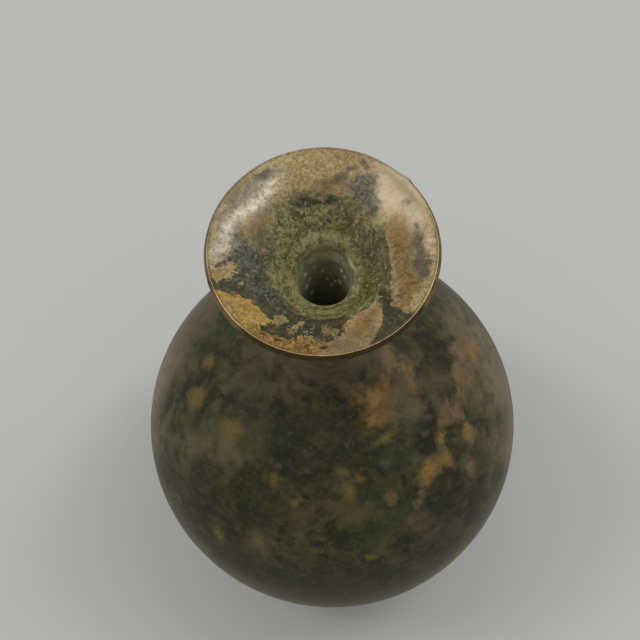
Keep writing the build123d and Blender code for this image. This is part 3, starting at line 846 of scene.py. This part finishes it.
def mouth_finish():
    """Worn tan metal with gold, copper and pale places, over olive, slate and green-black patina.

    The distance in from the metal's edge, made ragged or blurred by noise, chooses
    between the layers of patina and the layers of metal. Highlights on the left, the throat, the
    bead and the lip, shade in the groove and under the lip, and a thin shadow at the metal's edge
    are painted into the colour.
    """
    f = Finish("mouth_patina")
    fine = f.grain(0.5, 3, 0.65)
    grit = f.grain(1.0, 5, 0.7, 0.8)
    ragged = f.grain(2.4, 7, 0.68, 0.5)
    cloudy = f.grain(4.2, 5, 0.62, 0.8)
    broad = f.grain(9, 4, 0.5)
    crumb = fine * 0.3 + grit * 0.7
    lump = grit * 0.35 + ragged * 0.65
    even = crumb * 0.5 + lump * 0.5
    fleck = f.cells(1.05).rise(0.1, 0.3, 1.0, 0.0) * (grit * 0.4 + cloudy * 0.6).rise(0.48, 0.56)

    def patchy(name, wander=2.2, low=0.3, high=0.7):
        """A tone's weight with a ragged edge, and none where the tone is nought."""
        tone = f.tone(name)
        return (tone + (ragged - 0.5) * wander + (crumb - 0.5) * 1.4).rise(low, high) * tone.rise(0.0, 0.3)

    slate = (f.tone("slate") + (cloudy - 0.5) * 2 + (ragged - 0.5) * 1.6).rise(0.1, 0.9)
    patina = f.layers(
        f.blend(even.rise(0.43, 0.57), OLIVE_DEEP, OLIVE),
        (cloudy.rise(0.46, 0.62) * lump.rise(0.4, 0.58, 0.9, 0.2), UMBER_DEEP),
        (patchy("moss", 1.6, 0.2, 0.9), f.blend(crumb.rise(0.44, 0.57), MOSS_DEEP, MOSS)),
        (patchy("umber") * 0.85, f.blend((crumb * 0.6 + ragged * 0.4).rise(0.46, 0.57), UMBER_DEEP, UMBER)),
        (slate, f.blend((crumb * 0.55 + lump * 0.45).rise(0.43, 0.58), SLATE_DEEP, SLATE)),
        (patchy("deep"), f.blend((crumb * 0.4 + lump * 0.6).rise(0.43, 0.6), GREEN_BLACK, GREEN_DUSK)),
        (patchy("arc", 2.6, 0.1, 0.6), f.blend(crumb.rise(0.45, 0.64), GREEN_BLACK, UMBER)),
        (patchy("russet", 2.6) * lump.rise(0.4, 0.56, 0.15, 0.6), AMBER_DEEP),
        (f.tone("throat") * lump.rise(0.43, 0.57, 0.1, 0.85), THROAT_PALE),
        # bore patina, lightened as painted light
        (f.tone("bore") * 0.95, f.blend(lump.rise(0.38, 0.6), BORE_DEEP_AND_PAINTED_LIGHT, BORE_AND_PAINTED_LIGHT)),
        # painted highlight round the throat
        (f.tone("throat_highlight") * (grit * 0.5 + ragged * 0.5).rise(0.4, 0.56, 0.2, 0.9), THROAT_HIGHLIGHT),
        (fleck * (0.62 - slate * 0.35 - f.tone("deep") * 0.1), FLECK),
        (f.tone("gleam") * grit.rise(0.36, 0.52, 0.4, 0.9), GLEAM),
    )

    amber = patchy("amber")
    metal = f.layers(
        TAN,
        # pale metal, partly a painted highlight
        (patchy("pale", 1.2, 0.0, 1.0), PALE_AND_HIGHLIGHT),
        (patchy("ash", 1.8, 0.1, 0.9), f.blend((cloudy * 0.5 + lump * 0.5).rise(0.4, 0.58), ASH_BROWN, ASH)),
        (patchy("low", 1.6, 0.1, 0.9) * ragged.rise(0.36, 0.6, 1.0, 0.75), LOW_TAN),
        (patchy("copper", 1.6, 0.0, 1.0) * (cloudy * 0.65 + grit * 0.35).rise(0.4, 0.6, 0.15, 1.0), COPPER),
        (patchy("rust", 1.2, 0.1, 1.0) * 0.7, RUST),
        (patchy("sere", 1.6, 0.0, 0.9) * 0.8, SERE),
        (patchy("gold"), GOLD),
        (amber * 0.9, f.blend(even.rise(0.43, 0.56), AMBER_DEEP, AMBER)),
        (cloudy.rise(0.5, 0.66) * 0.3, SERE),
    )
    speckle = crumb.rise(0.39, 0.61, -0.42, 0.28) * (1 - f.tone("pale") * 0.65)
    crusted = (grit * 0.6 + ragged * 0.4).rise(0.5, 0.57) * (amber * 0.7 + f.tone("lace") * 0.3 + 0.06)
    gloss_and_painted_highlight = patchy("gloss_and_painted_highlight", 2.6, 0.15, 0.95)
    film = patchy("film", 3.0, 0.0, 1.0)
    metal = f.layers(
        f.scaled(metal, broad.rise(0.3, 0.7, 0.92, 1.08) * (1 + speckle)),
        (crusted, SPECK_BROWN),
        # painted highlight streaks on the left of the dish
        (gloss_and_painted_highlight * crumb.rise(0.4, 0.62, 0.35, 0.9), HIGHLIGHT_LILAC),
        (film * 0.7, f.blend(crumb.rise(0.42, 0.6), FILM, STAIN_LIGHT)),
        (patchy("shade", 2.6, 0.15, 0.9) * crumb.rise(0.4, 0.62, 1.0, 0.65), SHADE),
        (patchy("pits", 2.2), SPECK_BROWN),
    )

    wander = (ragged - 0.5) * 2.4 + (grit - 0.5) * (f.tone("lace") * 4 + 2.2)
    inward = f.tone("tan") + wander
    crisp = inward.rise(-0.1, 0.14)
    blurred = (f.tone("tan") + (cloudy - 0.5) * 10 + (ragged - 0.5) * 5).rise(-2.8, 2.6)
    bare = crisp + (blurred - crisp) * f.tone("soft")
    # Painted shadow: a thin dark line just outside the metal's edge, as if cast by the flake
    edge = inward.rise(-0.45, -0.05) * inward.rise(0.0, 0.4, 1.0, 0.0) * (1 - f.tone("soft"))
    stain = (f.tone("stain") + (cloudy - 0.5) * 8 + wander * 1.5).rise(-1.2, 1.0)
    # The lip's side and underside: brown darkened as painted shade, with a painted highlight where the glint
    # tone is
    lit = (f.tone("glint") + (cloudy - 0.5) * 2).rise(0.1, 1.0)
    side = f.layers(LIP_BROWN_AND_SHADE, (lit * 0.85, LIP_HIGHLIGHT), (ragged.rise(0.5, 0.6) * 0.6, GREEN_BLACK))
    # painted highlight along the bead's crest
    bead = f.tone("bead") * (ragged * 0.5 + grit * 0.5).rise(0.36, 0.54, 0.4, 1.0)
    colour = f.layers(
        f.scaled(f.blend(bare, patina, metal), 1 - edge * 0.3),
        (stain * 0.9, f.blend((crumb * 0.6 + lump * 0.4).rise(0.44, 0.6), STAIN, STAIN_LIGHT)),
        # painted shade in the groove
        (f.tone("groove") * cloudy.rise(0.36, 0.6, 0.3, 0.9), GROOVE_SHADE),
        (bead, f.blend(lit, BEAD_CREST_HIGHLIGHT, BEAD_CREST_GLINT)),
        (f.tone("under"), side),
    )
    worn = bare * (1 - stain)
    roughness = 0.48 - worn * 0.06 - gloss_and_painted_highlight * 0.08 + film * 0.08 + (crumb - 0.5) * 0.4
    height = worn * 0.45 + (fine * 0.35 + grit * 0.5) * (1 - worn * 0.6) - fleck * 0.2 - crusted * 0.4
    return f.surface(colour, roughness, worn * 0.25 + f.tone("under") * 0.7, height, 0.13, 0.4)


def body_finish(name, neck=False):
    """Dark green and brown patina, with tan streaks, yellow spots and a brown shoulder.

    The neck, the foot and the base have it plain and browner, and the bore paler, lightened as
    painted light. A reflection near the left and right edges and shade low on the front are painted in.
    """
    f = Finish(name)
    fine = f.grain(0.9, 4, 0.6)
    grit = f.grain(2.4, 5, 0.65, 0.6)
    ragged = f.grain(5, 6, 0.62, 0.5)
    cloudy = f.grain(9, 5, 0.6, 0.8)
    olive = f.grain(3.6, 4, 0.6, 0.4)
    green = f.blend((cloudy * 0.6 + grit * 0.4).rise(0.4, 0.6), BODY_BLACK, BODY_GREEN)
    if neck:
        worn = cloudy.rise(0.58, 0.7) * 0.3
        # The bore, lightened as painted light, and the plain outer face
        colour = f.layers(
            BORE_DEEP_AND_PAINTED_LIGHT,
            ((grit * 0.35 + ragged * 0.65).rise(0.3, 0.68), BORE_AND_PAINTED_LIGHT),
            (f.tone("gleam") * grit.rise(0.3, 0.46, 0.7, 1.0), GLEAM),
            (f.tone("outside"), f.blend(ragged.rise(0.3, 0.6), green, NECK_BROWN)),
            (worn, BODY_TAN),
        )
    else:
        moved = (cloudy - 0.5) * 2.4 + (ragged - 0.5) * 1.6
        blurred = ((ragged - 0.5) * 7 + (grit - 0.5) * 5) * 0.8 + (olive - 0.5) * 4
        patch = (f.tone("patch") + blurred).rise(-3.2, 2.6)
        streak = (f.tone("streak") + blurred * 0.7).rise(-2.0, 1.6)
        spots = (f.tone("spots") + blurred * 0.45).rise(-2.2, 2.0)
        bright = f.tone("bright")
        tan = f.blend(bright, f.blend(f.tone("rust"), BODY_SAND, BODY_RUST), BODY_TAN)
        tan = f.scaled(tan, grit.rise(0.34, 0.66, 0.84, 1.14))
        dull = f.blend(bright, f.blend(f.tone("dusk"), BODY_RUST, BODY_SAND), BODY_TAN)
        worn = streak.most(patch * 0.6)
        colour = f.layers(
            green,
            # warm patina, partly painted reflection at the edges
            ((f.tone("warm_and_edge_reflection") + moved).rise(-0.2, 1.4) * ragged.rise(0.36, 0.6, 0.5, 0.85), BODY_WARM_AND_REFLECTION),
            # painted reflection near the edges
            (f.tone("edge_reflection") * ragged.rise(0.34, 0.64, 0.5, 0.85), BODY_EDGE_REFLECTION),
            ((f.tone("green") + moved).rise(0.0, 1.1) * grit.rise(0.34, 0.62, 0.4, 0.85), BODY_MOSS),
            ((f.tone("brown") + moved).rise(0.0, 1.2) * grit.rise(0.34, 0.6, 0.9, 0.6), BODY_BROWN),
            # dark patina, and painted shade low on the front
            ((f.tone("dark_and_shade") + moved * 0.5).rise(0.0, 1.2) * grit.rise(0.32, 0.62, 0.9, 0.5), BODY_BLACK),
            (patch * (ragged * 0.6 + grit * 0.4).rise(0.36, 0.56, 0.35, 0.95), dull),
            (streak * (cloudy * 0.6 + grit * 0.4 + bright * 0.14).rise(0.36, 0.52, 0.6, 1.0), tan),
            (spots * (grit + spots * 0.16).rise(0.44, 0.62, 0.4, 0.9), BODY_YELLOW),
            ((f.tone("pale") + (grit - 0.5) * 2 + (ragged - 0.5)).rise(0.2, 1.1) * 0.5, BODY_GREY),
            (olive.rise(0.54, 0.7) * 0.4, BODY_OLIVE),
        )
    colour = f.blend(olive.rise(0.3, 0.44, 1.0, 0.0) * grit.rise(0.44, 0.6) * 0.35, colour, BODY_GREY)
    colour = f.scaled(colour, fine.rise(0.3, 0.7, 0.9, 1.1))
    roughness = 0.56 - worn * 0.05 + (fine - 0.5) * 0.2
    height = worn * 0.4 + fine * 0.4 + grit * 0.4 + ragged * 0.3
    return f.surface(colour, roughness, worn * 0.15, height, 0.14, 0.24, 0.3)


def solder_finish():
    """Dull grey soft solder, flecked with oxide."""
    f = Finish("soft_solder")
    fine, cloudy = f.grain(0.6), f.grain(3)
    grey = f.blend(cloudy.rise(0.3, 0.7), SOLDER_GREY, SOLDER_OXIDE)
    colour = f.scaled(grey, fine.rise(0.3, 0.7, 0.85, 1.05))
    return f.surface(colour, 0.5 + (cloudy - 0.5) * 0.2, 0.8, fine, 0.05)


# pieces

DISH_EDGE = (DISH_RADIUS, RIM - 0.35)
THROAT = (BORE_RADIUS, RIM - 16.5)
BEAD_FOOT = RIM - 0.2
GROOVE_FLOOR = RIM - 0.46
BEAD_CENTRE = (BEAD_CREST, RIM - 0.256)
BEVEL_FOOT = (MOUTH_RADIUS, RIM - 1.45)
LIP_ARRIS = (MOUTH_RADIUS, RIM - 1.8)
NECK_HEAD = (NECK_HEAD_RADIUS, RIM - 18.5)
DISH_BELL = bell(DISH_EDGE, 10, THROAT, 7.5, 0.34)
UNDER_BELL = bell(LIP_ARRIS, 12, NECK_HEAD, 7, 0.75)
SPHERE_CENTRE = (0, MIDDLE)
EQUATOR = (BODY_RADIUS, MIDDLE)
HOLLOW_EQUATOR = (HOLLOW_RADIUS, MIDDLE)
SWEEP_CENTRE = (NECK_ROOT_RADIUS + SWEEP_RADIUS, NECK_ROOT)
FOOT_EDGE = (FOOT_TOP_RADIUS, FOOT_TOP)
FLECKED_DEPTH = 22


def under_sphere(radius, sphere):
    """The lower point at a radius from the axis on a sphere round the body's centre."""
    return (radius, MIDDLE - math.sqrt(sphere**2 - radius**2))


def toward(centre, other, radius):
    """The point at a radius from one centre on the line to another."""
    centre, other = np.array(centre, float), np.array(other, float)
    return centre + (other - centre) / np.linalg.norm(other - centre) * radius


def make_mouth():
    """The dished mouth: bell, groove, bead and bevel, the underside, and the socket for the neck."""
    socket = UPPER_SPIGOT + FIT_GAP
    points = outline(
        straight((BORE_RADIUS, SPIGOT_TOP), THROAT, 0.5),
        DISH_BELL,
        straight(DISH_EDGE, (DISH_RADIUS, GROOVE_FLOOR), FINE_STEP),
        straight((DISH_RADIUS, GROOVE_FLOOR), (BEAD_INNER, GROOVE_FLOOR), FINE_STEP),
        straight((BEAD_INNER, GROOVE_FLOOR), (BEAD_INNER, BEAD_FOOT), FINE_STEP),
        arc(BEAD_CENTRE, (BEAD_INNER, BEAD_FOOT), (BEAD_OUTER, BEAD_FOOT), 0.08),
        straight((BEAD_OUTER, BEAD_FOOT), BEVEL_FOOT, 0.3),
        straight(BEVEL_FOOT, LIP_ARRIS, FINE_STEP),
        UNDER_BELL[::-1],
        straight(NECK_HEAD, (NECK_HEAD_RADIUS, MOUTH_SEAM), 0.8),
        [(socket, MOUTH_SEAM), (socket, SPIGOT_TOP)],
    )
    points = eased(points, 0.16, keep=[(NECK_HEAD_RADIUS, MOUTH_SEAM), (BORE_RADIUS, SPIGOT_TOP)])
    return turned("mouth", points, FINE_TURN, mouth_tones, mouth_move)


def outside_tone(places):
    """Full on the outer face of the neck, the foot and the base, and none in the bore."""
    outer = ease(from_axis(places), BORE_RADIUS + 1, BORE_RADIUS + 2)
    return {"outside": np.maximum(outer, places[:, 2] < FOOT_TOP)}


def neck_tones(places):
    """The outer face, and the flecks in the bore."""
    return outside_tone(places) | {"gleam": bore_flecks(places)}


def make_neck():
    """The neck: a slightly tapered tube with a spigot at each end, close-set in its upper bore."""
    low, flecked, top = ((BORE_RADIUS, z) for z in (SPIGOT_LOW, SPIGOT_TOP - FLECKED_DEPTH, SPIGOT_TOP))
    points = outline(
        straight((NECK_HEAD_RADIUS, MOUTH_SEAM), (NECK_ROOT_RADIUS, NECK_ROOT), 0.9),
        [(LOWER_SPIGOT, NECK_ROOT), (LOWER_SPIGOT, SPIGOT_LOW), low],
        straight(low, flecked, HIDDEN_STEP),
        straight(flecked, top, 0.3),
        [(UPPER_SPIGOT, SPIGOT_TOP), (UPPER_SPIGOT, MOUTH_SEAM)],
    )
    return turned("neck", points, PLAIN_TURN, neck_tones)


def make_shoulder():
    """The upper half of the body, with the hollow sweep to the neck, the socket and the tongue."""
    socket = LOWER_SPIGOT + FIT_GAP
    meet = toward(SPHERE_CENTRE, SWEEP_CENTRE, BODY_RADIUS)
    inner_meet = toward(SPHERE_CENTRE, SWEEP_CENTRE, HOLLOW_RADIUS)
    fall = math.sqrt((SWEEP_RADIUS + WALL) ** 2 - (SWEEP_CENTRE[0] - socket) ** 2)
    points = outline(
        arc(SPHERE_CENTRE, EQUATOR, meet, BODY_STEP),
        arc(SWEEP_CENTRE, meet, (NECK_ROOT_RADIUS, NECK_ROOT), BODY_STEP),
        [(socket, NECK_ROOT)],
        arc(SWEEP_CENTRE, (socket, NECK_ROOT - fall), inner_meet, HIDDEN_STEP),
        arc(SPHERE_CENTRE, inner_meet, HOLLOW_EQUATOR, HIDDEN_STEP),
        [(HOLLOW_RADIUS, TONGUE_LOW), (TONGUE_RADIUS, TONGUE_LOW), (TONGUE_RADIUS, MIDDLE)],
    )
    return turned("shoulder", points, BODY_TURN, body_tones, body_move)


def make_belly():
    """The lower half of the body, with the collar for the foot, the land and the seat of the base."""
    rebate, seat = TONGUE_RADIUS + FIT_GAP, BASE_RADIUS + FIT_GAP
    collar_face, land_face = (under_sphere(radius, BODY_RADIUS) for radius in (COLLAR_INNER, LAND_OUTER))
    inner_land = under_sphere(LAND_HOLE, HOLLOW_RADIUS)
    points = outline(
        arc(SPHERE_CENTRE, EQUATOR, FOOT_EDGE, BODY_STEP),
        [(COLLAR_OUTER, FOOT_TOP), (COLLAR_OUTER, COLLAR_LOW), (COLLAR_INNER, COLLAR_LOW)],
        arc(SPHERE_CENTRE, collar_face, land_face, 0.9),
        [(LAND_OUTER, BASE_LOW), (seat, BASE_LOW), (seat, BASE_TOP), (LAND_HOLE, BASE_TOP)],
        arc(SPHERE_CENTRE, inner_land, HOLLOW_EQUATOR, HIDDEN_STEP)[:-1],
        [(HOLLOW_RADIUS, TONGUE_LOW), (rebate, TONGUE_LOW), (rebate, MIDDLE)],
    )
    return turned("belly", points, BODY_TURN, body_tones, body_move)


def make_foot():
    """The splayed foot ring, with a flat band at the floor."""
    waist, inner_top = (FOOT_WAIST_RADIUS, COLLAR_LOW), (COLLAR_OUTER + FIT_GAP, FOOT_TOP)
    band_top, band_foot = (BAND_RADIUS, BAND_HEIGHT), (BAND_RADIUS, 0)
    low_edge, inner_foot = (FOOT_LOW_RADIUS, BAND_HEIGHT), (FOOT_INNER_RADIUS, 0)
    points = outline(
        upright_arc(waist, FOOT_EDGE, 0.8)[::-1],
        upright_arc(waist, low_edge, 0.8),
        straight(low_edge, band_top, 0.4),
        straight(band_top, band_foot, 0.6),
        straight(band_foot, inner_foot, 0.8),
        upright_arc((inner_top[0], COLLAR_LOW), inner_foot, 0.9)[::-1],
        [inner_top],
    )
    return turned("foot", eased(points, 0.25, keep=[FOOT_EDGE, inner_top]), BODY_TURN, outside_tone)


def make_base():
    """The disc that closes the core hole."""
    hub = 1.5
    points = outline(
        [(0, BASE_LOW)],
        straight((hub, BASE_LOW), (BASE_RADIUS, BASE_LOW), hub),
        [(BASE_RADIUS, BASE_TOP)],
        straight((BASE_RADIUS, BASE_TOP), (hub, BASE_TOP), HIDDEN_STEP)[1:],
        [(0, BASE_TOP)],
    )
    return turned("base", points, PLAIN_TURN, outside_tone)


def dress():
    """Makes the six bronze pieces, hangs each under the root in place of its node, which it hides, and gives
    every piece its finish.
    """
    body = body_finish("body_patina")
    plain = body_finish("plain_patina", neck=True)
    pieces = [
        (make_mouth(), "mouth_dish", "mouth_bronze", mouth_finish()),
        (make_neck(), "neck_tube", "neck_bronze", plain),
        (make_shoulder(), "shoulder_shell", "body_bronze", body),
        (make_belly(), "belly_shell", "body_bronze", body),
        (make_foot(), "foot_ring", "foot_bronze", plain),
        (make_base(), "base_disc", "base_bronze", plain),
    ]
    for piece, node, slot, finish in pieces:
        piece.data.materials.append(finish)
        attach(piece, "root")
        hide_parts(node)
    solder = solder_finish()
    for name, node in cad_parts.items():
        if name.endswith("_solder"):
            node.data.materials.clear()
            node.data.materials.append(solder)


# stage, light and camera

FLOOR_GREY = srgb(188, 188, 184)
FLOOR_REACH = 3.0
SKY_BLUE = (0.95, 0.98, 1.0, 1)
# The sky's strength in a direction is this level, plus the direction times this lean
SKY_LEVEL, SKY_LEAN = 0.83, (0, 0.3, -0.25)
WINDOW_LIGHT = (1.0, 0.985, 0.96)
# The lamps are like two windows: how far from the mouth, how wide and how long, in metres
WINDOW_AWAY, WINDOW_WIDE, WINDOW_LONG = 1.3, 0.4, 0.5
WINDOW_AIM = (0, 0, 0.2)

# The camera, in metres and degrees: its distance from the rim's centre, how steeply it
# looks down, how far it is rolled, the point that it looks at, right and above the rim's
# centre, and its lens in millimetres
EYE_AWAY, EYE_TILT, EYE_ROLL = 0.27619, 63.217, -3.935
AIM_RIGHT, AIM_UP = -0.00181, -0.04627
LENS = 61.875


def floor():
    """A plain pale floor, three metres each way."""
    mesh = bpy.data.meshes.new("floor")
    corners = [(x * FLOOR_REACH, y * FLOOR_REACH, 0) for x, y in ((-1, -1), (1, -1), (1, 1), (-1, 1))]
    mesh.from_pydata(corners, [], [(0, 1, 2, 3)])
    f = Finish("floor_grey")
    inputs = {"Base Color": FLOOR_GREY, "Roughness": 0.75, "Specular IOR Level": 0.3}
    f.node("OutputMaterial", inputs={"Surface": f.node("BsdfPrincipled", inputs=inputs)})
    mesh.materials.append(f.material)
    piece = put("floor", mesh)


def sky():
    """Soft light from all round, fuller from behind and from low down.

    The camera sees the floor's grey past the floor, and so do reflections, lit in the same way.
    """
    world = bpy.data.worlds.new("studio")
    bpy.context.scene.world = world
    n = Nodes(world)
    aim = n.node("TexCoord", output="Generated")
    lean = n.node("VectorMath", {"operation": "DOT_PRODUCT"}, {0: aim, 1: SKY_LEAN}, "Value")
    strength = lean + SKY_LEVEL
    light = n.node("Background", inputs={"Color": SKY_BLUE, "Strength": strength})
    for ray, level in (("Is Glossy Ray", strength), ("Is Camera Ray", 1.0)):
        shown = n.node("Background", inputs={"Color": FLOOR_GREY, "Strength": level})
        light = n.node("MixShader", inputs={0: n.node("LightPath", output=ray), 1: light, 2: shown})
    n.node("OutputWorld", inputs={0: light})


def window(name, toward_window, watts):
    """A soft oblong lamp that looks at the mouth from a direction."""
    data = bpy.data.lights.new(name, "AREA")
    data.shape = "RECTANGLE"
    data.size, data.size_y = WINDOW_WIDE, WINDOW_LONG
    data.energy, data.color = watts, WINDOW_LIGHT
    lamp = put(name, data)
    direction = Vector(toward_window).normalized()
    lamp.location = Vector(WINDOW_AIM) + direction * WINDOW_AWAY
    lamp.rotation_mode = "QUATERNION"
    lamp.rotation_quaternion = direction.to_track_quat("Z", "Y")


def camera():
    """The camera: over the front of the mouth, looking down at 63 degrees, rolled by 4 degrees."""
    tilt, roll, rim = math.radians(EYE_TILT), math.radians(EYE_ROLL), RIM * MM
    eye = Vector((0, -EYE_AWAY * math.cos(tilt), rim + EYE_AWAY * math.sin(tilt)))
    look = (Vector((AIM_RIGHT, 0, rim + AIM_UP)) - eye).normalized()
    right = look.cross(Vector((0, 0, 1))).normalized()
    up = right.cross(look)
    c, s = math.cos(roll), math.sin(roll)
    right, up = c * right + s * up, -s * right + c * up
    data = bpy.data.cameras.new("camera")
    data.sensor_width = 36
    data.lens = LENS
    data.clip_start = 0.01
    made = put("camera", data)
    made.matrix_world = Matrix.Translation(eye) @ Matrix((right, up, -look)).transposed().to_4x4()
    bpy.context.scene.camera = made


dress()
floor()
sky()
window("right_window", (0.42, 0.1, 0.87), 4.6)
window("left_window", (-0.5, 0.05, 0.86), 3.8)
camera()
bpy.context.scene.view_settings.view_transform = "Standard"
bpy.context.view_layer.update()
